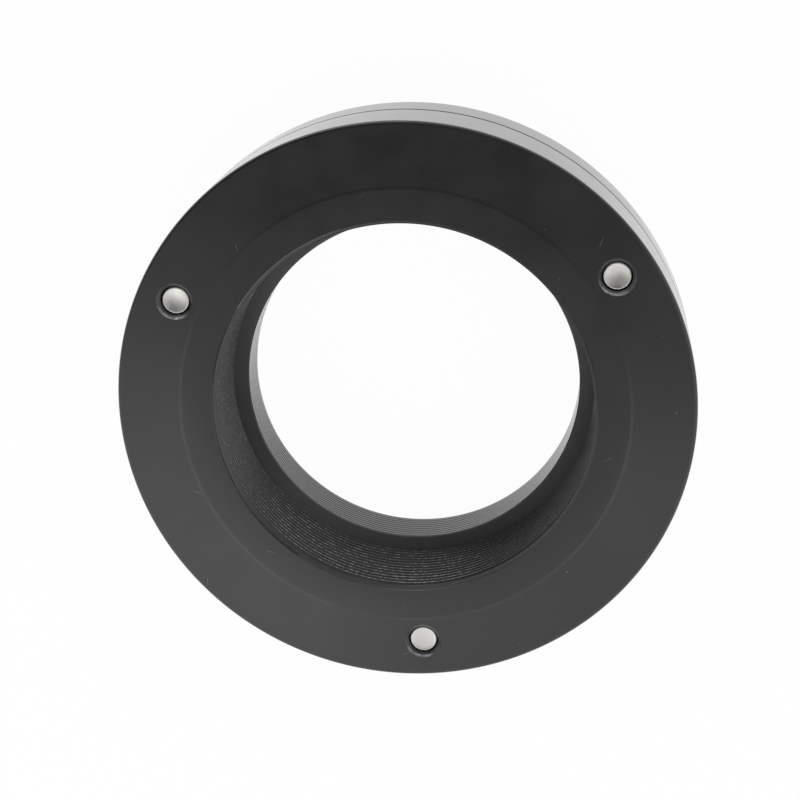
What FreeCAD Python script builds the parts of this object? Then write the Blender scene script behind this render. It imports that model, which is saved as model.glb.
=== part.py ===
import FreeCAD, Part
import math
import os

# A push-pull tilt ring for a camera: two turned aluminium plates, three pull
# screws that clamp them together and three push screws that hold them apart.
# The ring lies on its male thread, with the female thread facing up. The axis
# is Z, and z = 0 is the end face of the male neck. All sizes are millimetres.

Vector = FreeCAD.Vector

# Optical thread, the same size at both ends
thread_d = 42.0
thread_pitch = 0.75

# Front plate
front_t = 7.55              # flange, without its spigot
spigot_wall = 2.0           # from the root of the female thread outwards
bore_chamfer = 0.5
face_relief_w = 3.4         # shallow turned step round the bore
face_relief_depth = 0.06
rim_edge = 0.35             # broken edge at the front rim

# Rear plate
web_t = 2.3                 # the shoulder that carries the neck
recess_depth = 2.9          # takes the spigot of the front plate
neck_len = 3.1
neck_bore_d = 37.8
neck_bore_edge = 0.15
thread_relief_w = 0.8
thread_relief_depth = 0.6
undercut_depth = 0.15       # the relief bites into the flange, so a mate seats flat
undercut_play = 0.05
neck_lead = 0.4             # lead chamfer of the male thread
back_edge = 0.3
seam_edge = 0.15            # broken edges at the gap between the plates

# How the plates fit each other
plate_gap = 0.25
spigot_end_gap = 0.25
spigot_play = 0.25

# Places of the screws
screw_count = 3
first_screw_angle = 30.0
push_offset_angle = 16.0
screw_land = 1.05           # metal between the recess and a counterbore
rim_land = 1.2              # metal between a counterbore and the rim

# Pull screws, low head
screw_d = 3.0
head_d = 5.5
head_h = 2.0
head_edge = 0.25
head_sink = 0.4             # head below the back face
head_play = 0.25
pull_hex = 2.0
pull_hex_depth = 1.1
tip_sink = 0.6              # tip below the front face
tip_dish = 0.15             # depth of the dish that thread rolling leaves in the tip
tip_edge = 0.1
shank_play = 0.2            # lets the front plate tilt round the shanks
mouth_d = 4.1               # countersink in the front face

# Push screws, headless
push_len = 4.0
push_hex = 1.5
push_hex_depth = 1.6
push_point_edge = 0.5
push_play = 0.05
push_tip_play = 0.03        # tip to the back of the front plate

socket_cone = 0.3           # drill cone at the bottom of a hex socket

# Radii that follow from the thread outwards
thread_r = thread_d / 2
minor_r = thread_r - 0.5413 * thread_pitch
spigot_r = thread_r + spigot_wall
recess_r = spigot_r + spigot_play
counterbore_r = head_d / 2 + head_play
circle_r = recess_r + screw_land + counterbore_r
body_r = circle_r + counterbore_r + rim_land
shank_hole_r = screw_d / 2 + shank_play
push_hole_r = screw_d / 2 + push_play
neck_bore_r = neck_bore_d / 2

# Heights that follow from the neck upwards
back_z = neck_len
shoulder_z = back_z + web_t
seam_z = shoulder_z + recess_depth
front_back_z = seam_z + plate_gap
spigot_end_z = shoulder_z + spigot_end_gap
face_z = front_back_z + front_t
head_back_z = back_z + head_sink
head_seat_z = head_back_z + head_h
tip_z = face_z - tip_sink
push_tip_z = front_back_z - push_tip_play


def turned(points):
    """Solid of revolution round Z from (radius, height) corners."""
    corners = [Vector(r, 0, z) for r, z in points]
    outline = Part.makePolygon(corners + corners[:1])
    return Part.Face(outline).revolve(Vector(0, 0, 0), Vector(0, 0, 1), 360)


def on_circle(angle):
    """Place on the screw circle, at height 0."""
    turn = math.radians(angle)
    return Vector(circle_r * math.cos(turn), circle_r * math.sin(turn), 0)


def pull_angles():
    return [first_screw_angle + i * 360 / screw_count for i in range(screw_count)]


def push_angles():
    return [angle + push_offset_angle for angle in pull_angles()]


def drill(radius, low, high, place):
    """Round cutter between two heights."""
    return Part.makeCylinder(radius, high - low, place + Vector(0, 0, low))


def hex_socket(across_flats, depth, low):
    """Cutter for a hexagon socket that opens downwards at height low."""
    corner_r = across_flats / math.sqrt(3)
    corners = []
    for i in range(6):
        turn = math.radians(60 * i)
        corners.append(Vector(corner_r * math.cos(turn), corner_r * math.sin(turn), low))
    outline = Part.makePolygon(corners + corners[:1])
    prism = Part.Face(outline).extrude(Vector(0, 0, depth))
    cone = Part.makeCone(across_flats / 2, 0, socket_cone, Vector(0, 0, low + depth))
    return prism.fuse(cone)


def front_plate():
    """Flange and spigot in one, with the female thread's bore right through."""
    chamfer_r = minor_r + bore_chamfer
    relief_r = chamfer_r + face_relief_w
    relief_z = face_z - face_relief_depth
    solid = turned([
        (minor_r, spigot_end_z + seam_edge),
        (minor_r + seam_edge, spigot_end_z),
        (spigot_r - seam_edge, spigot_end_z),
        (spigot_r, spigot_end_z + seam_edge),
        (spigot_r, front_back_z),
        (body_r - seam_edge, front_back_z),
        (body_r, front_back_z + seam_edge),
        (body_r, face_z - rim_edge),
        (body_r - rim_edge, face_z),
        (relief_r, face_z),
        (relief_r, relief_z),
        (chamfer_r, relief_z),
        (minor_r, relief_z - bore_chamfer),
    ])
    mouth_r = mouth_d / 2
    mouth_depth = mouth_r - shank_hole_r
    for angle in pull_angles():
        place = on_circle(angle)
        mouth = Part.makeCone(shank_hole_r, mouth_r, mouth_depth, place + Vector(0, 0, face_z - mouth_depth))
        hole = drill(shank_hole_r, front_back_z - 1, face_z + 1, place)
        solid = solid.cut(hole.fuse(mouth))
    return solid


def rear_plate():
    """Flange with the spigot's recess, the shoulder and the male neck in one."""
    root_r = thread_r - thread_relief_depth
    undercut_r = thread_r + undercut_play
    solid = turned([
        (neck_bore_r, 0),
        (thread_r - neck_lead, 0),
        (thread_r, neck_lead),
        (thread_r, back_z - thread_relief_w),
        (root_r, back_z - thread_relief_w),
        (root_r, back_z + undercut_depth),
        (undercut_r, back_z + undercut_depth),
        (undercut_r, back_z),
        (body_r - back_edge, back_z),
        (body_r, back_z + back_edge),
        (body_r, seam_z - seam_edge),
        (body_r - seam_edge, seam_z),
        (recess_r + seam_edge, seam_z),
        (recess_r, seam_z - seam_edge),
        (recess_r, shoulder_z),
        (neck_bore_r + neck_bore_edge, shoulder_z),
        (neck_bore_r, shoulder_z - neck_bore_edge),
    ])
    for angle in pull_angles():
        place = on_circle(angle)
        seat = drill(counterbore_r, back_z - 1, head_seat_z, place)
        solid = solid.cut(seat.fuse(drill(shank_hole_r, back_z, seam_z + 1, place)))
    for angle in push_angles():
        solid = solid.cut(drill(push_hole_r, back_z - 1, seam_z + 1, on_circle(angle)))
    return solid


def dished_tip(radius, edge, height, depth):
    """Corners of a screw end with a broken edge round a shallow dish, outside in."""
    inner_r = radius - edge
    steps = 4
    corners = [(radius, height - edge)]
    for i in range(steps + 1):
        share = 1 - i / steps
        corners.append((inner_r * share, height - depth * (1 - share ** 2)))
    return corners


def pull_screw(place):
    """Low-head cap screw, its head in the rear plate and its tip at the front."""
    head_r = head_d / 2
    shank_r = screw_d / 2
    outline = [
        (0, head_back_z),
        (head_r - head_edge, head_back_z),
        (head_r, head_back_z + head_edge),
        (head_r, head_seat_z),
        (shank_r, head_seat_z),
    ]
    screw = turned(outline + dished_tip(shank_r, tip_edge, tip_z, tip_dish))
    screw = screw.cut(hex_socket(pull_hex, pull_hex_depth, head_back_z))
    screw.translate(place)
    return screw


def push_screw(place):
    """Headless screw in the rear plate that bears on the front plate's back."""
    shank_r = screw_d / 2
    low = push_tip_z - push_len
    screw = turned([
        (0, low),
        (shank_r - seam_edge, low),
        (shank_r, low + seam_edge),
        (shank_r, push_tip_z - push_point_edge),
        (shank_r - push_point_edge, push_tip_z),
        (0, push_tip_z),
    ])
    screw = screw.cut(hex_socket(push_hex, push_hex_depth, low))
    screw.translate(place)
    return screw


def save(name, solid):
    solid.exportStep(os.path.join("parts", name + ".step"))
    print(name, "volume", round(solid.Volume, 2), "valid", solid.isValid())


os.makedirs("parts", exist_ok=True)
save("front_plate", front_plate())
save("rear_plate", rear_plate())
for number, angle in enumerate(pull_angles(), 1):
    save("pull_screw_%d" % number, pull_screw(on_circle(angle)))
for number, angle in enumerate(push_angles(), 1):
    save("push_screw_%d" % number, push_screw(on_circle(angle)))
print("outer diameter", 2 * body_r, "screw circle", 2 * circle_r, "height", face_z)
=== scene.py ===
import bmesh
import bpy
import math
import numpy as np
from mathutils import Matrix, Vector


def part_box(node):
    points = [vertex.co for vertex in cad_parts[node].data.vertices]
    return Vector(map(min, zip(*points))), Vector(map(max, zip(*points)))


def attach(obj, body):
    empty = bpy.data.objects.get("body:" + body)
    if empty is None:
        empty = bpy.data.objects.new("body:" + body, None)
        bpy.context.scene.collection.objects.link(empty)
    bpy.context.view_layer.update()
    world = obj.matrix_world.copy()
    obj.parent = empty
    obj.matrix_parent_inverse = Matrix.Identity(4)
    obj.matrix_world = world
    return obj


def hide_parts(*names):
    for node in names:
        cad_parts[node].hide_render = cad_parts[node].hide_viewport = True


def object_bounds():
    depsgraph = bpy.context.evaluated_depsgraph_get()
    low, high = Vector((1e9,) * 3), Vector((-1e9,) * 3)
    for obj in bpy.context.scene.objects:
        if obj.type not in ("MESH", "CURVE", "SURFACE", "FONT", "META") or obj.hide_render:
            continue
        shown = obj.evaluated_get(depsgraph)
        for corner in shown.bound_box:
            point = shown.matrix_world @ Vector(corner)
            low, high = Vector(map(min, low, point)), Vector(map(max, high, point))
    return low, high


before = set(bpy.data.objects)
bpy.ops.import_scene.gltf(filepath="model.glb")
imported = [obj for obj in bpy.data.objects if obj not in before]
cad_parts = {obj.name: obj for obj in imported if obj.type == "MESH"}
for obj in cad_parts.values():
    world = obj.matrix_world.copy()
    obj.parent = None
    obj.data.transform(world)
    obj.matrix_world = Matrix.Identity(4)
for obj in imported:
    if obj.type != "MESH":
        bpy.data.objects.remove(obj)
cad_low, cad_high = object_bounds()

# Lengths are millimetres in the mesh code and the materials, and a mesh turns into metres
# when its piece is made. Floor, lamps and camera are in metres.
MM = 0.001


def ends(node):
    """Lowest and highest z of a CAD node, in millimetres."""
    low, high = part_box(node)
    return round(low[2] / MM, 3), round(high[2] / MM, 3)


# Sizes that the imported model's boxes give
SPIGOT_Z, FACE_Z = ends("front_plate")
NECK_Z, SEAM_Z = ends("rear_plate")
HEAD_Z, TIP_Z = ends("pull_screw_1")
PUSH_LOW_Z, PUSH_TIP_Z = ends("push_screw_1")
BODY_R = round(cad_high[0] / MM, 3)

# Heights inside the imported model
BACK_Z = 3.1                # back of the rear flange
SHOULDER_Z = 5.4            # bottom of the recess
SEAT_Z = 5.5                # under the pull screws' heads
FRONT_BACK_Z = 8.55         # back of the front flange

# M42 thread, the same size at both ends
PITCH = 0.75
THREAD_R = 21.0
MINOR_R = 20.594
MALE_ROOT_R = 20.54
FEMALE_ROOT_R = 20.97
THREAD_EDGE = 0.03          # worn corner of a crest
THREAD_START = -0.074       # where the female thread runs out into its chamfer, in turns
CHAMFER_R = MINOR_R + 0.5
RUNOUT = 0.8                # plain length between the male thread and the flange
RUNOUT_R = THREAD_R - 0.6
RUNOUT_SLOPE = 1.2
UNDERCUT = 0.15             # bites into the flange, so that a mate seats flat
UNDERCUT_R = THREAD_R + 0.05
LEAD = 0.4                  # lead chamfer of the male thread

# A crest's share of what the flanks leave of the pitch: M42 female, any male, tapped M3 hole
FEMALE_LAND = 0.28
MALE_LAND = 2 / 3
TAP_LAND = 0.5

# Plates
SPIGOT_R = 23.0
RECESS_R = 23.25
STEP_R = 24.494             # soft step in the front face
STEP_RISE = 0.06            # rise of the face from the bore to the step
STEP_FALL = 0.03            # fall of the face outside the step
NECK_R = 18.9
NECK_EDGE = 0.15
NECK_LIP = 0.12             # broken edge at the neck's end
RIM_EDGE = 0.35
BACK_EDGE = 0.3
SEAM_EDGE = 0.15
GROOVE_PITCH = 0.58         # fine grooves of the rear bore
GROOVE_DEPTH = 0.035
GROOVE_FLANK = 0.05
GROOVE_FLOOR = 0.06
GROOVE_MARGIN = 0.45        # plain bore at both ends of the grooves

# Screws and their holes
CIRCLE_R = 27.3
PULL = [30.0, 150.0, 270.0]
PUSH = [46.0, 166.0, 286.0]
SCREW_R = 1.5
SCREW_ROOT_R = 1.2
SCREW_PITCH = 0.5
SCREW_THREAD_EDGE = 0.02
AXIS_R = 0.15               # innermost circle of a screw, which a flat face closes
HEAD_R = 2.75
HEAD_EDGE = 0.25
HEAD_SEAT_EDGE = 0.08
FILLET = 0.12               # under the head
PLAIN_SHANK = 0.5
THREAD_LOW = 0.65           # from under the head to the thread
THREAD_TOP = 0.10           # from the thread to the tip
DISH_R = 1.25
DISH_LIP = 0.014            # from the tip's highest circle to the dish's edge
TIP_DISH = [0.11, 0.13, 0.03]   # depth of the dish in each pull screw's tip
PUSH_LOW_R = 1.25
PUSH_POINT_R = 1.0
PULL_HEX = (2.0, 1.1, 0.3)  # width across flats, depth and drill cone of the sockets
PUSH_HEX = (1.5, 1.6, 0.25)
PULL_TAP = (1.64, 1.82)     # crest and root radius of the tapped holes
PUSH_TAP = (1.545, 1.74)
TAP_MOUTH_R = 1.8           # small countersink of a push screw's hole
TAP_MOUTH_DEPTH = 0.2
SHANK_HOLE_R = 1.7
COUNTERBORE_R = 3.0
HOLE_EDGE = 0.12            # broken edge of a counterbore and a shank's hole
MOUTH_R = 2.05              # countersinks in the front face
MOUTH_DEPTH = 0.40

# Segments round the plates, round a screw or counterbore, and round a tapped hole
RING_SEGS = 384
SCREW_SEGS = 64
HOLE_SEGS = 48

# Colours. Two together are the ends of a range.
BLACK_DYE = (0.0083, 0.0083, 0.0098), (0.0113, 0.0112, 0.0131)
# painted light on the bore's shoulder
SHOULDER_PAINTED_LIGHT = (0.096, 0.096, 0.097), (0.185, 0.185, 0.187)
# painted glint on the thread's crests
PAINTED_CREST_GLINT = (0.78, 0.74, 0.69)
WORN_LIP = (0.14, 0.135, 0.13)
# bare metal of the countersinks, with a painted highlight on one side
MOUTH_METAL_SHEEN = (0.50, 0.50, 0.51)
DUST = (0.30, 0.30, 0.29)
STEEL = (0.645, 0.632, 0.60), (0.775, 0.762, 0.73)

# Studio, in metres
FLOOR_SIZE = 1.6
LAMP_DISTANCE = 0.7
LAMP_TARGET = (0, 0, 0.01)


# Mesh code

def flat_rows(points, segs):
    """Circles of a turned shape, each with its last point on its first."""
    return [(np.full(segs + 1, float(r)), np.full(segs + 1, float(z))) for r, z in points]


def thread_rows(low, high, pitch, tooth, segs, trim=None, start=0.0):
    """Rows that follow a right-handed helix between two heights. tooth lists (height, radius)
    over one pitch, trim(radius, height) turns the end chamfers, and start turns the helix by
    that share of a turn."""
    turn = np.arange(segs + 1) / segs - start
    heights = np.array([p[0] for p in tooth])
    radii = np.array([p[1] for p in tooth])
    rows = []
    first = math.floor(low / pitch) - 1
    last = math.ceil(high / pitch)
    for k in range(first, last + 1):
        for dz, r in tooth:
            z = (k + turn) * pitch + dz
            kept = np.clip(z, low, high)
            at = np.interp((kept - turn * pitch) % pitch, heights, radii, period=pitch)
            radius = np.where(np.abs(z - kept) < 1e-9, r, at)
            if trim is not None:
                radius = trim(radius, kept)
            rows.append((radius, kept))
    return rows


def tooth_corners(pitch, crest_r, root_r, edge, land):
    """Corners of a 60 degree thread's tooth over one pitch, from the middle of its crest. land
    is the crest's share of what the flanks leave of the pitch, and edge its worn corner."""
    slope = math.tan(math.radians(30))
    flank = abs(root_r - crest_r) * slope
    narrowest = 0.02
    half = max((pitch - 2 * flank) * land / 2, narrowest)
    worn_r = crest_r + math.copysign(edge, root_r - crest_r)
    return [
        (0.0, crest_r),
        (half - edge, crest_r),
        (half + edge * slope, worn_r),
        (half + flank, root_r),
        (pitch - half - flank, root_r),
        (pitch - half - edge * slope, worn_r),
        (pitch - half + edge, crest_r),
    ]


def add_rows(bm, rows, segs, closed=False):
    """A grid of quads through the rows. With closed, the last row meets the first."""
    turn = 2 * np.pi * np.arange(segs + 1) / segs
    c, s = np.cos(turn), np.sin(turn)
    c[-1], s[-1] = c[0], s[0]
    grid = [[bm.verts.new((r[i] * c[i], r[i] * s[i], z[i])) for i in range(segs + 1)] for r, z in rows]
    if closed:
        grid.append(grid[0])
    for a, b in zip(grid, grid[1:]):
        for i in range(segs):
            bm.faces.new((a[i], a[i + 1], b[i + 1], b[i]))


def rounded(corners, closed=True):
    """Outline with some corners rounded. A corner is (r, z) or (r, z, radius, steps). A narrow
    strip beside each arc keeps its shading off the flats."""
    strip = 0.03
    out = []
    count = len(corners)
    for i, corner in enumerate(corners):
        p = Vector(corner[:2])
        if len(corner) == 2 or (not closed and i in (0, count - 1)):
            out.append(tuple(p))
            continue
        radius, steps = corner[2], corner[3]
        a = (Vector(corners[i - 1][:2]) - p).normalized()
        b = (Vector(corners[(i + 1) % count][:2]) - p).normalized()
        half = a.angle(b) / 2
        reach = radius / math.tan(half)
        centre = p + (a + b).normalized() * (radius / math.sin(half))
        start = (p + a * reach - centre).normalized()
        end = (p + b * reach - centre).normalized()
        out.append(tuple(p + a * (reach + strip)))
        for k in range(steps + 1):
            out.append(tuple(centre + start.slerp(end, k / steps) * radius))
        out.append(tuple(p + b * (reach + strip)))
    return out


def clean(bm):
    """Joins the seam of turned rows, drops what has no size and turns the faces outwards."""
    bmesh.ops.remove_doubles(bm, verts=bm.verts, dist=2e-5)
    bmesh.ops.dissolve_degenerate(bm, dist=1e-5, edges=bm.edges)
    bmesh.ops.recalc_face_normals(bm, faces=bm.faces)


def turned_ring(corners):
    """Plate turned from a closed outline."""
    bm = bmesh.new()
    add_rows(bm, flat_rows(rounded(corners), RING_SEGS), RING_SEGS, closed=True)
    clean(bm)
    return bm


def solid_rows(rows, segs):
    """Piece or cutter through the rows, closed at both ends."""
    bm = bmesh.new()
    add_rows(bm, rows, segs)
    clean(bm)
    open_edges = [e for e in bm.edges if len(e.link_faces) == 1]
    bmesh.ops.holes_fill(bm, edges=open_edges, sides=0)
    bmesh.ops.recalc_face_normals(bm, faces=bm.faces)
    return bm


def new_object(bm, name):
    """The bmesh as an object of the scene."""
    mesh = bpy.data.meshes.new(name)
    bm.to_mesh(mesh)
    bm.free()
    obj = bpy.data.objects.new(name, mesh)
    bpy.context.scene.collection.objects.link(obj)
    return obj


def cut(body_bm, cutter_bm):
    """The body with the cutter taken out, as a new bmesh."""
    body = new_object(body_bm, "body")
    cutter = new_object(cutter_bm, "cutter")
    mod = body.modifiers.new("cut", "BOOLEAN")
    mod.operation = "DIFFERENCE"
    mod.solver = "EXACT"
    mod.object = cutter
    bpy.context.view_layer.update()
    graph = bpy.context.evaluated_depsgraph_get()
    mesh = bpy.data.meshes.new_from_object(body.evaluated_get(graph))
    out = bmesh.new()
    out.from_mesh(mesh)
    for obj in (body, cutter):
        data = obj.data
        bpy.data.objects.remove(obj)
        bpy.data.meshes.remove(data)
    bpy.data.meshes.remove(mesh)
    return out


def merge(parts):
    """Several bmeshes as one."""
    out = bmesh.new()
    for part in parts:
        mesh = bpy.data.meshes.new("part")
        part.to_mesh(mesh)
        part.free()
        out.from_mesh(mesh)
        bpy.data.meshes.remove(mesh)
    return out


def drop_wall(bm, circles):
    """Takes out the helper wall between two circles, given as (radius, height). The threaded
    bore or the neck takes its place."""
    def on_circles(vert):
        radius = math.hypot(vert.co.x, vert.co.y)
        return any(abs(radius - r) < 1e-3 and abs(vert.co.z - z) < 1e-3 for r, z in circles)
    wall = []
    for face in bm.faces:
        upright = len({round(v.co.z, 2) for v in face.verts}) > 1
        if upright and all(on_circles(v) for v in face.verts):
            wall.append(face)
    bmesh.ops.delete(bm, geom=wall, context="FACES")


def moved(bm, x, y, angle=0.0):
    """The bmesh turned about its own axis by an angle in radians and set at a place."""
    place = Matrix.Translation((x, y, 0)) @ Matrix.Rotation(angle, 4, "Z")
    bmesh.ops.transform(bm, matrix=place, verts=bm.verts)
    return bm


def on_circle(angle):
    """Place on the screw circle, from an angle in degrees."""
    turn = math.radians(angle)
    return CIRCLE_R * math.cos(turn), CIRCLE_R * math.sin(turn)


def finish_piece(bm, name, body, node, material):
    """A shown piece in metres that stands for its CAD node."""
    sharp = math.radians(32)
    bmesh.ops.transform(bm, matrix=Matrix.Scale(MM, 4), verts=bm.verts)
    for face in bm.faces:
        face.smooth = True
    for edge in bm.edges:
        if len(edge.link_faces) == 2:
            edge.smooth = edge.calc_face_angle(0.0) < sharp
    obj = new_object(bm, name)
    obj.data.materials.append(material)
    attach(obj, body)
    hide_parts(node)


# Materials

class Graph:
    """Short calls for the nodes of one material or world."""

    def __init__(self, tree):
        self.nodes = tree.nodes
        self.links = tree.links

    def put(self, socket, value):
        """Links another node's output to a socket, or sets its plain value."""
        if isinstance(value, bpy.types.NodeSocket):
            self.links.new(value, socket)
        elif socket.type == "RGBA":
            socket.default_value = (*value, 1.0)
        else:
            socket.default_value = value

    def node(self, kind, inputs=(), **settings):
        """A new shader node with its settings and its inputs, by name or number."""
        made = self.nodes.new("ShaderNode" + kind)
        for key, value in settings.items():
            setattr(made, key, value)
        for key, value in dict(inputs).items():
            self.put(made.inputs[key], value)
        return made

    def calc(self, operation, *values):
        return self.node("Math", enumerate(values), operation=operation).outputs[0]

    def plus(self, a, b):
        return self.calc("ADD", a, b)

    def minus(self, a, b):
        return self.calc("SUBTRACT", a, b)

    def times(self, first, *others):
        for other in others:
            first = self.calc("MULTIPLY", first, other)
        return first

    def larger(self, a, b):
        return self.calc("MAXIMUM", a, b)

    def length(self, x, y):
        return self.calc("SQRT", self.plus(self.times(x, x), self.times(y, y)))

    def span(self, value, start, end, first, last, kind="SMOOTHSTEP"):
        """Goes from first to last while value goes from start to end, and is flat beyond."""
        inputs = {"Value": value, "From Min": start, "From Max": end, "To Min": first, "To Max": last}
        return self.node("MapRange", inputs, interpolation_type=kind).outputs[0]

    def rise(self, value, start, end):
        """0 up to start and 1 from end."""
        return self.span(value, start, end, 0.0, 1.0)

    def fall(self, value, start, end):
        """1 up to start and 0 from end."""
        return self.span(value, start, end, 1.0, 0.0)

    def band(self, value, low, high, soft):
        """1 between low and high, with soft edges inside them."""
        return self.times(self.rise(value, low, low + soft), self.fall(value, high - soft, high))

    def noise(self, place, scale, detail, rough):
        inputs = {"Vector": place, "Scale": scale, "Detail": detail, "Roughness": rough}
        return self.node("TexNoise", inputs).outputs["Fac"]

    def cells(self, place, scale):
        """Scattered cells seen from above: distance to a cell's point, the way from that point,
        and two random values of the cell."""
        node = self.node("TexVoronoi", {"Vector": place, "Scale": scale}, voronoi_dimensions="2D")
        away = self.node("VectorMath", {0: place, 1: node.outputs["Position"]}, operation="SUBTRACT")
        lot = self.node("SeparateColor", {0: node.outputs["Color"]}).outputs
        return node.outputs["Distance"], away.outputs[0], lot[0], lot[1]

    def mix(self, factor, first, second):
        """Colour between two others."""
        return self.node("Mix", {0: factor, 6: first, 7: second}, data_type="RGBA").outputs[2]

    def split(self, vector):
        return self.node("SeparateXYZ", {0: vector}).outputs

    def place(self):
        """Place on the piece in millimetres, in the CAD model's frame."""
        coords = self.node("TexCoord").outputs["Object"]
        return self.node("VectorMath", {0: coords, "Scale": 1 / MM}, operation="SCALE").outputs[0]

    def bump(self, height, distance):
        """Normal from a height, of which 1 is a distance in millimetres."""
        inputs = {"Strength": 0.2, "Distance": distance * MM, "Height": height}
        return self.node("Bump", inputs).outputs[0]


def shader(name):
    """New material, its graph and the inputs of its surface."""
    mat = bpy.data.materials.new(name)
    mat.use_nodes = True
    return mat, Graph(mat.node_tree), mat.node_tree.nodes["Principled BSDF"].inputs


def dust(graph, place):
    """A few small specks, some paler than others."""
    distance, _, first_lot, second_lot = graph.cells(place, 0.17)
    few = graph.rise(first_lot, 0.66, 0.68)
    return graph.times(graph.fall(distance, 0.008, 0.020), few, graph.span(second_lot, 0.0, 1.0, 0.12, 0.6))


def scratches(graph, place):
    """Short fine scratches, each in its own direction."""
    _, away, first_lot, second_lot = graph.cells(place, 0.135)
    x, y, _ = graph.split(away)
    heading = graph.times(second_lot, math.pi)
    cosine = graph.calc("COSINE", heading)
    sine = graph.calc("SINE", heading)
    along = graph.plus(graph.times(x, cosine), graph.times(y, sine))
    across = graph.minus(graph.times(y, cosine), graph.times(x, sine))
    long_enough = graph.fall(graph.calc("ABSOLUTE", along), 0.20, 0.65)
    thin = graph.fall(graph.calc("ABSOLUTE", across), 0.02, 0.06)
    return graph.times(long_enough, thin, graph.span(first_lot, 0.68, 0.70, 0.0, 0.30))


def painted_crest_glints(graph, place, radius):
    """Painted glints: crests of the female thread made bright in dots, most on the side towards -y, where
    the light catches them.
    """
    x, y, z = graph.split(place)
    lean = math.radians(250)
    towards = graph.plus(graph.times(x, math.cos(lean)), graph.times(y, math.sin(lean)))
    crest = graph.fall(radius, MINOR_R + 0.006, MINOR_R + 0.036)
    above_shoulder = graph.rise(z, SHOULDER_Z + 0.2, SHOULDER_Z + 0.4)
    below_face = graph.fall(z, FACE_Z - 0.8, FACE_Z - 0.5)
    dots = graph.span(graph.noise(place, 2.9, 2.0, 0.6), 0.50, 0.62, 0.20, 1.0)
    side = graph.larger(graph.span(towards, 13.5, 19.5, 0.06, 1.0), graph.span(x, -19.0, -12.0, 0.35, 0.0))
    return graph.times(crest, above_shoulder, below_face, dots, side)


def worn_lip(graph, place, radius, z):
    """The lip where a mating thread starts."""
    lip = graph.band(radius, MINOR_R + 0.086, MINOR_R + 0.326, 0.06)
    uneven = graph.span(graph.noise(place, 1.5, 3.0, 0.6), 0.3, 0.7, 0.45, 1.0)
    return graph.times(lip, graph.rise(z, FACE_Z - 0.55, FACE_Z - 0.50), uneven)


def mouth_metal_and_sheen(graph, place):
    """Bare metal in the countersinks, cut after the dye. It is paler and metallic on the side towards -y
    and fades towards +y, a painted highlight where the light catches the mouths.
    """
    x, y, z = graph.split(place)
    mouth_sheen = 0.0
    for angle in PULL:
        centre = on_circle(angle)
        dx = graph.minus(x, centre[0])
        dy = graph.minus(y, centre[1])
        ring = graph.band(graph.length(dx, dy), MOUTH_R - 0.30, MOUTH_R, 0.09)
        side = graph.plus(dy, graph.times(dx, 0.35))
        mouth_sheen = graph.larger(mouth_sheen, graph.times(ring, graph.span(side, -1.9, -0.9, 1.0, 0.1)))
    uneven = graph.span(graph.noise(place, 2.4, 3.0, 0.6), 0.35, 0.65, 0.35, 1.0)
    return graph.times(mouth_sheen, graph.rise(z, FACE_Z - 0.5, FACE_Z - 0.4), uneven, 0.8)


def anodised():
    """Satin black anodised aluminium, fine turned, with dust, scratches and a worn lip, painted glints on
    the thread's crests, a painted highlight in the countersinks and painted light on the bore's shoulder.
    """
    mat, graph, inputs = shader("black_anodised_finish")
    place = graph.place()
    x, y, z = graph.split(place)
    radius = graph.length(x, y)

    # Fine grain of the blasted and dyed skin, larger uneven dye, and the lathe's marks
    grain = graph.noise(place, 5.2, 3.0, 0.6)
    dye = graph.noise(place, 0.19, 4.0, 0.55)
    ring = graph.node("CombineXYZ", {0: radius, 2: z}).outputs[0]
    lathe = graph.noise(ring, 9.0, 2.0, 0.5)

    on_face = graph.rise(z, FACE_Z - 0.08, FACE_Z - 0.07)
    specks = graph.times(graph.larger(dust(graph, place), scratches(graph, place)), on_face)
    mouth_sheen = mouth_metal_and_sheen(graph, place)

    # Painted light: the bottom of the bore gets a paler colour than the dye, palest towards -y, which
    # stands in for light that reaches it there
    low_down = graph.band(z, SHOULDER_Z - 0.40, SHOULDER_Z + 0.20, 0.15)
    painted_shoulder_zone = graph.times(low_down, graph.fall(radius, RECESS_R - 0.45, RECESS_R - 0.05))
    painted_shoulder_tone = graph.mix(graph.fall(y, -17.0, -4.0), *SHOULDER_PAINTED_LIGHT)

    base = graph.mix(dye, *BLACK_DYE)
    base = graph.mix(painted_shoulder_zone, base, painted_shoulder_tone)
    # Painted glints on the crests of the female thread
    base = graph.mix(painted_crest_glints(graph, place, radius), base, PAINTED_CREST_GLINT)
    base = graph.mix(graph.times(worn_lip(graph, place, radius, z), 0.25), base, WORN_LIP)
    # Bare metal in the countersinks, with a painted highlight on their side towards -y
    base = graph.mix(mouth_sheen, base, MOUTH_METAL_SHEEN)
    base = graph.mix(specks, base, DUST)
    graph.put(inputs["Base Color"], base)
    graph.put(inputs["Metallic"], mouth_sheen)

    # The rim and the rear bore come smoother off the lathe than the blasted faces
    turned = graph.plus(graph.rise(radius, BODY_R - 0.3, BODY_R - 0.1),
                        graph.fall(radius, NECK_R + 0.08, NECK_R + 0.13))
    rough = graph.plus(graph.span(dye, 0.3, 0.7, 0.29, 0.35), graph.times(grain, 0.05))
    graph.put(inputs["Roughness"], graph.minus(rough, graph.times(turned, 0.20)))
    inputs["IOR"].default_value = 1.6
    inputs["Coat Weight"].default_value = 0.3
    inputs["Coat Roughness"].default_value = 0.12

    height = graph.plus(graph.times(grain, 0.8), graph.times(lathe, 0.35))
    height = graph.times(height, graph.span(turned, 0.0, 1.0, 1.0, 0.1))
    graph.put(inputs["Normal"], graph.bump(height, 0.02))
    return mat


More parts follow.
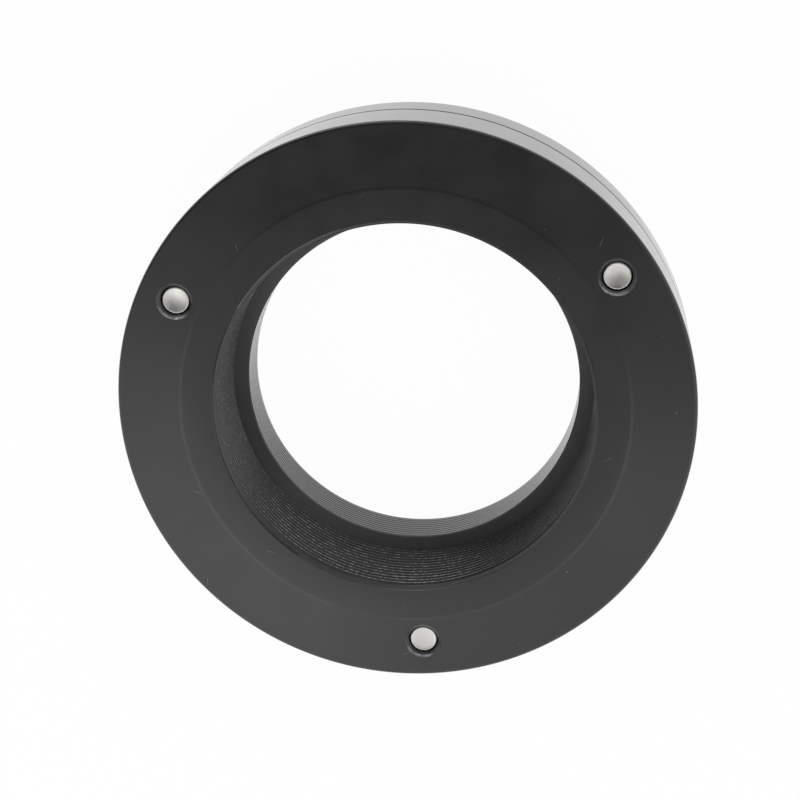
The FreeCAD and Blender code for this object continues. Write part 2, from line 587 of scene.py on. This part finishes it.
def stainless():
    """Machined stainless steel with turned ends and a slightly uneven shine."""
    mat, graph, inputs = shader("stainless_finish")
    place = graph.place()
    cloud = graph.noise(place, 0.7, 3.0, 0.5)
    fine = graph.noise(place, 7.0, 2.0, 0.5)
    graph.put(inputs["Base Color"], graph.mix(cloud, *STEEL))
    inputs["Metallic"].default_value = 1.0
    rough = graph.plus(graph.span(cloud, 0.3, 0.7, 0.32, 0.44), graph.times(fine, 0.05))
    graph.put(inputs["Roughness"], rough)

    # Lathe marks run round the screw's own axis, the middle of its box
    box_place = graph.node("TexCoord").outputs["Generated"]
    from_axis = graph.node("VectorMath", {0: box_place, 1: (0.5, 0.5, 0.0)}, operation="SUBTRACT")
    x, y, _ = graph.split(from_axis.outputs[0])
    ring = graph.node("CombineXYZ", {0: graph.length(x, y)}).outputs[0]
    lathe = graph.noise(ring, 70.0, 2.0, 0.6)
    graph.put(inputs["Normal"], graph.bump(graph.times(lathe, 0.6), 0.01))
    return mat


# Front plate

def tapped_hole(angle, low, high, tap, before, after):
    """Cutter for a tapped M3 hole, with the plain circles below and above its thread."""
    tooth = tooth_corners(SCREW_PITCH, *tap, SCREW_THREAD_EDGE, TAP_LAND)
    rows = flat_rows(before, HOLE_SEGS)
    rows += thread_rows(low, high, SCREW_PITCH, tooth, HOLE_SEGS)
    rows += flat_rows(after, HOLE_SEGS)
    return moved(solid_rows(rows, HOLE_SEGS), *on_circle(angle))


def front_plate():
    """Flange and spigot with three tapped, countersunk holes, and the M42 x 0.75 female thread.
    The face rises a little from the bore to the step, which falls off softly outwards."""
    relief_z = FACE_Z - STEP_RISE
    outer_z = FACE_Z - STEP_FALL
    body = turned_ring([
        (CHAMFER_R, SPIGOT_Z),
        (SPIGOT_R - SEAM_EDGE, SPIGOT_Z),
        (SPIGOT_R, SPIGOT_Z + SEAM_EDGE),
        (SPIGOT_R, FRONT_BACK_Z),
        (BODY_R, FRONT_BACK_Z, SEAM_EDGE, 3),
        (BODY_R, outer_z, RIM_EDGE, 6),
        (STEP_R + 0.25, outer_z),
        (STEP_R + 0.16, outer_z + 0.004),
        (STEP_R - 0.06, FACE_Z - 0.004),
        (STEP_R - 0.15, FACE_Z - 0.002),
        (CHAMFER_R, relief_z),
    ])

    # The cutters reach past both faces
    tap_low = FRONT_BACK_Z - 0.9
    tap_high = FACE_Z - MOUTH_DEPTH
    before = [(PULL_TAP[1], FRONT_BACK_Z - 1)]
    after = [(MOUTH_R - MOUTH_DEPTH, tap_high), (MOUTH_R, FACE_Z), (MOUTH_R + 1, FACE_Z + 1)]
    holes = [tapped_hole(angle, tap_low, tap_high, PULL_TAP, before, after) for angle in PULL]
    body = cut(body, merge(holes))
    drop_wall(body, [(CHAMFER_R, SPIGOT_Z), (CHAMFER_R, relief_z)])

    def trim(radius, z):
        lead = CHAMFER_R - (relief_z - z)
        end = MINOR_R + THREAD_EDGE - (z - SPIGOT_Z)
        return np.maximum(radius, np.maximum(lead, end))

    tooth = tooth_corners(PITCH, MINOR_R, FEMALE_ROOT_R, THREAD_EDGE, FEMALE_LAND)
    rows = flat_rows([(CHAMFER_R, SPIGOT_Z)], RING_SEGS)
    rows += thread_rows(SPIGOT_Z, relief_z, PITCH, tooth, RING_SEGS, trim, THREAD_START)
    rows += flat_rows([(CHAMFER_R, relief_z)], RING_SEGS)
    add_rows(body, rows, RING_SEGS)
    clean(body)
    return body


# Rear plate

def counterbore(angle):
    """Cutter for a pull screw's head and shank, with broken edges."""
    rows = flat_rows([
        (COUNTERBORE_R + HOLE_EDGE, BACK_Z - 1),
        (COUNTERBORE_R + HOLE_EDGE, BACK_Z),
        (COUNTERBORE_R, BACK_Z + HOLE_EDGE),
        (COUNTERBORE_R, SEAT_Z),
        (SHANK_HOLE_R + HOLE_EDGE, SEAT_Z),
        (SHANK_HOLE_R, SEAT_Z + HOLE_EDGE),
        (SHANK_HOLE_R, SEAM_Z + 1),
    ], SCREW_SEGS)
    return moved(solid_rows(rows, SCREW_SEGS), *on_circle(angle))


def push_hole(angle):
    """Cutter for a push screw's tapped hole, countersunk at both ends."""
    low = BACK_Z + TAP_MOUTH_DEPTH
    high = SEAM_Z - TAP_MOUTH_DEPTH
    neck_r = TAP_MOUTH_R - TAP_MOUTH_DEPTH
    before = [(TAP_MOUTH_R, BACK_Z - 1), (TAP_MOUTH_R, BACK_Z), (neck_r, low)]
    after = [(neck_r, high), (TAP_MOUTH_R, SEAM_Z), (TAP_MOUTH_R, SEAM_Z + 1)]
    return tapped_hole(angle, low, high, PUSH_TAP, before, after)


def grooved_bore():
    """Circles of the rear bore with its fine grooves, from the shoulder down to the neck's end."""
    points = [(NECK_R + NECK_EDGE, SHOULDER_Z), (NECK_R, SHOULDER_Z - NECK_EDGE)]
    z = SHOULDER_Z - GROOVE_MARGIN
    while z > NECK_Z + GROOVE_MARGIN:
        points += [
            (NECK_R, z),
            (NECK_R + GROOVE_DEPTH, z - GROOVE_FLANK),
            (NECK_R + GROOVE_DEPTH, z - GROOVE_FLANK - GROOVE_FLOOR),
            (NECK_R, z - 2 * GROOVE_FLANK - GROOVE_FLOOR),
        ]
        z -= GROOVE_PITCH
    return points + [(NECK_R, NECK_Z + NECK_LIP), (NECK_R + NECK_LIP, NECK_Z)]


def rear_plate():
    """Flange, recess and counterbores, the male M42 x 0.75 neck and its finely grooved bore."""
    thread_end_z = BACK_Z - RUNOUT
    body = turned_ring([
        (NECK_R + NECK_EDGE, SHOULDER_Z),
        (RUNOUT_R, thread_end_z),
        (RUNOUT_R, BACK_Z + UNDERCUT),
        (UNDERCUT_R, BACK_Z + UNDERCUT),
        (UNDERCUT_R, BACK_Z),
        (BODY_R, BACK_Z, BACK_EDGE, 4),
        (BODY_R, SEAM_Z, SEAM_EDGE, 3),
        (RECESS_R, SEAM_Z, SEAM_EDGE, 3),
        (RECESS_R, SHOULDER_Z),
    ])
    holes = [counterbore(angle) for angle in PULL] + [push_hole(angle) for angle in PUSH]
    body = cut(body, merge(holes))
    drop_wall(body, [(NECK_R + NECK_EDGE, SHOULDER_Z), (RUNOUT_R, thread_end_z)])

    def trim(radius, z):
        lead = THREAD_R - LEAD + (z - NECK_Z)
        end = RUNOUT_R + (thread_end_z - z) * RUNOUT_SLOPE
        return np.minimum(radius, np.minimum(lead, end))

    tooth = tooth_corners(PITCH, THREAD_R, MALE_ROOT_R, THREAD_EDGE, MALE_LAND)
    rows = flat_rows(grooved_bore(), RING_SEGS)
    rows += thread_rows(NECK_Z, thread_end_z, PITCH, tooth, RING_SEGS, trim)
    rows += flat_rows([(RUNOUT_R, thread_end_z)], RING_SEGS)
    add_rows(body, rows, RING_SEGS)
    clean(body)
    return body


# Screws

def hex_cutter(flats, depth, cone, low):
    """Hexagon socket with a chamfered mouth at its lower end and the drill's cone at its bottom."""
    corner = flats / math.sqrt(3)
    bm = bmesh.new()
    loops = []
    for r, z in [(corner + 0.25, low - 0.2), (corner, low + 0.05), (corner, low + depth)]:
        turns = [math.radians(60 * i) for i in range(6)]
        loops.append([bm.verts.new((r * math.cos(t), r * math.sin(t), z)) for t in turns])
    for a, b in zip(loops, loops[1:]):
        for i in range(6):
            bm.faces.new((a[i], a[(i + 1) % 6], b[(i + 1) % 6], b[i]))
    tip = bm.verts.new((0, 0, low + depth + cone))
    for i in range(6):
        bm.faces.new((loops[-1][i], loops[-1][(i + 1) % 6], tip))
    bm.faces.new(loops[0])
    bmesh.ops.recalc_face_normals(bm, faces=bm.faces)
    return bm


def screw_tooth():
    """Corners of an M3 screw's tooth."""
    return tooth_corners(SCREW_PITCH, SCREW_R, SCREW_ROOT_R, SCREW_THREAD_EDGE, MALE_LAND)


def dished_tip(dish):
    """Circles of a screw's tip: a rolled edge round a shallow dish."""
    steps = 8
    points = [
        (SCREW_R, TIP_Z - THREAD_TOP),
        (DISH_R + 0.22, TIP_Z - 0.045),
        (DISH_R + 0.17, TIP_Z - 0.012),
        (DISH_R + 0.11, TIP_Z),
        (DISH_R + 0.05, TIP_Z - 0.004),
    ]
    for k in range(steps):
        share = 1 - k / steps
        points.append((DISH_R * share, TIP_Z - DISH_LIP - dish * (1 - share ** 2)))
    return points


def pull_screw(dish):
    """Low-head M3 cap screw. Thread rolling left a shallow dish in its tip."""
    thread_low = SEAT_Z + THREAD_LOW
    outline = rounded([
        (AXIS_R, HEAD_Z),
        (HEAD_R, HEAD_Z, HEAD_EDGE, 4),
        (HEAD_R, SEAT_Z, HEAD_SEAT_EDGE, 2),
        (SCREW_R + FILLET, SEAT_Z),
        (SCREW_R, SEAT_Z + 0.1),
        (SCREW_R, SEAT_Z + PLAIN_SHANK),
        (SCREW_ROOT_R + 0.1, thread_low),
    ], closed=False)
    rows = flat_rows(outline, SCREW_SEGS)
    rows += thread_rows(thread_low, TIP_Z - THREAD_TOP, SCREW_PITCH, screw_tooth(), SCREW_SEGS)
    rows += flat_rows(dished_tip(dish), SCREW_SEGS)
    return cut(solid_rows(rows, SCREW_SEGS), hex_cutter(*PULL_HEX, HEAD_Z))


def push_screw():
    """Headless M3 x 4 screw with a hexagon socket and a flat point."""
    low, high = PUSH_LOW_Z, PUSH_TIP_Z

    def trim(radius, z):
        return np.minimum(radius, np.minimum(PUSH_LOW_R + (z - low), PUSH_POINT_R + (high - z)))

    rows = flat_rows([(AXIS_R, low), (PUSH_LOW_R - 0.05, low)], SCREW_SEGS)
    rows += thread_rows(low, high, SCREW_PITCH, screw_tooth(), SCREW_SEGS, trim)
    rows += flat_rows([(PUSH_POINT_R - 0.05, high), (AXIS_R, high)], SCREW_SEGS)
    return cut(solid_rows(rows, SCREW_SEGS), hex_cutter(*PUSH_HEX, low))


black = anodised()
steel = stainless()
finish_piece(front_plate(), "front_flange", "front", "front_plate", black)
finish_piece(rear_plate(), "rear_flange", "rear", "rear_plate", black)
for number, (angle, dish) in enumerate(zip(PULL, TIP_DISH), 1):
    screw = moved(pull_screw(dish), *on_circle(angle), math.radians(angle))
    finish_piece(screw, "clamp_screw_%d" % number, "pull_%d" % number,
                 "pull_screw_%d" % number, steel)
for number, angle in enumerate(PUSH, 1):
    screw = moved(push_screw(), *on_circle(angle), math.radians(angle))
    finish_piece(screw, "jack_screw_%d" % number, "push_%d" % number,
                 "push_screw_%d" % number, steel)


# Floor, light and camera

def floor_finish():
    """White floor. What looks at it sees white, and it still takes a faint shadow."""
    mat = bpy.data.materials.new("studio_floor")
    mat.use_nodes = True
    mat.node_tree.nodes.clear()
    graph = Graph(mat.node_tree)
    matte = graph.node("BsdfDiffuse", {"Color": (0.9, 0.9, 0.9)}).outputs[0]
    glow = graph.node("Emission", {"Color": (1.0, 1.0, 1.0), "Strength": 1.02}).outputs[0]
    path = graph.node("LightPath").outputs
    seen = graph.larger(path["Is Glossy Ray"], path["Is Transmission Ray"])
    seen = graph.larger(path["Is Camera Ray"], seen)
    mix = graph.node("MixShader", {0: graph.times(seen, 0.95), 1: matte, 2: glow})
    graph.node("OutputMaterial", {"Surface": mix.outputs[0]})
    return mat


def studio_floor():
    """Flat floor under the ring."""
    bm = bmesh.new()
    bmesh.ops.create_grid(bm, x_segments=8, y_segments=8, size=FLOOR_SIZE)
    floor = new_object(bm, "studio_floor")
    floor.data.materials.append(floor_finish())


def studio_sky():
    """Light from low down all round. It is dark overhead, and a flag on the +y side shades what
    comes from higher up there."""
    world = bpy.data.worlds.new("studio")
    world.use_nodes = True
    world.node_tree.nodes.clear()
    graph = Graph(world.node_tree)
    x, y, z = graph.split(graph.node("TexCoord").outputs["Generated"])
    overhead = graph.plus(z, graph.times(x, -0.06))
    level = graph.span(overhead, 0.88, 0.978, 1.0, 0.0, "LINEAR")
    behind = graph.rise(graph.plus(y, graph.times(x, -0.15)), -0.15, 0.20)
    higher = graph.rise(z, 0.20, 0.48)
    flag = graph.times(graph.span(x, -0.45, -0.10, 0.92, 0.60), behind, higher)
    strength = graph.times(level, graph.minus(1.0, flag))
    sky = graph.node("Background", {"Color": (0.985, 0.984, 1.0), "Strength": strength})
    graph.node("OutputWorld", {"Surface": sky.outputs[0]})
    bpy.context.scene.world = world


def softbox(name, direction, size, power):
    """Area lamp of a width and height that faces the ring from a direction."""
    data = bpy.data.lights.new(name, "AREA")
    data.shape = "RECTANGLE"
    data.size, data.size_y = size
    data.energy = power
    lamp = bpy.data.objects.new(name, data)
    bpy.context.scene.collection.objects.link(lamp)
    way = Vector(direction).normalized()
    lamp.location = Vector(LAMP_TARGET) + way * LAMP_DISTANCE
    lamp.rotation_mode = "QUATERNION"
    lamp.rotation_quaternion = way.to_track_quat("Z", "Y")
    lamp.visible_camera = False


def photo_camera():
    """Camera at the photograph's place, with its axes as fitted to the photograph's circles."""
    data = bpy.data.cameras.new("camera")
    data.lens = 78.76
    data.sensor_width = 36.0
    data.clip_start = 0.005
    data.clip_end = 10.0
    camera = bpy.data.objects.new("camera", data)
    bpy.context.scene.collection.objects.link(camera)
    right = Vector((0.99089, -0.08347, -0.10572))
    down = Vector((-0.04655, -0.94871, 0.31270))
    ahead = Vector((-0.12640, -0.30493, -0.94395))
    turn = Matrix((right, -down, -ahead)).transposed().to_4x4()
    camera.matrix_world = Matrix.Translation((0.023643, 0.058941, 0.194253)) @ turn
    bpy.context.scene.camera = camera


studio_floor()
studio_sky()
softbox("key", (-0.40, -0.42, 0.82), (0.3, 0.3), 0.22)
softbox("fill", (0.20, -0.42, 0.885), (0.2, 0.2), 0.08)
softbox("back", (-0.25, 0.95, 0.12), (0.4, 0.16), 0.42)
photo_camera()
bpy.context.scene.view_settings.view_transform = "Standard"

bpy.context.view_layer.update()
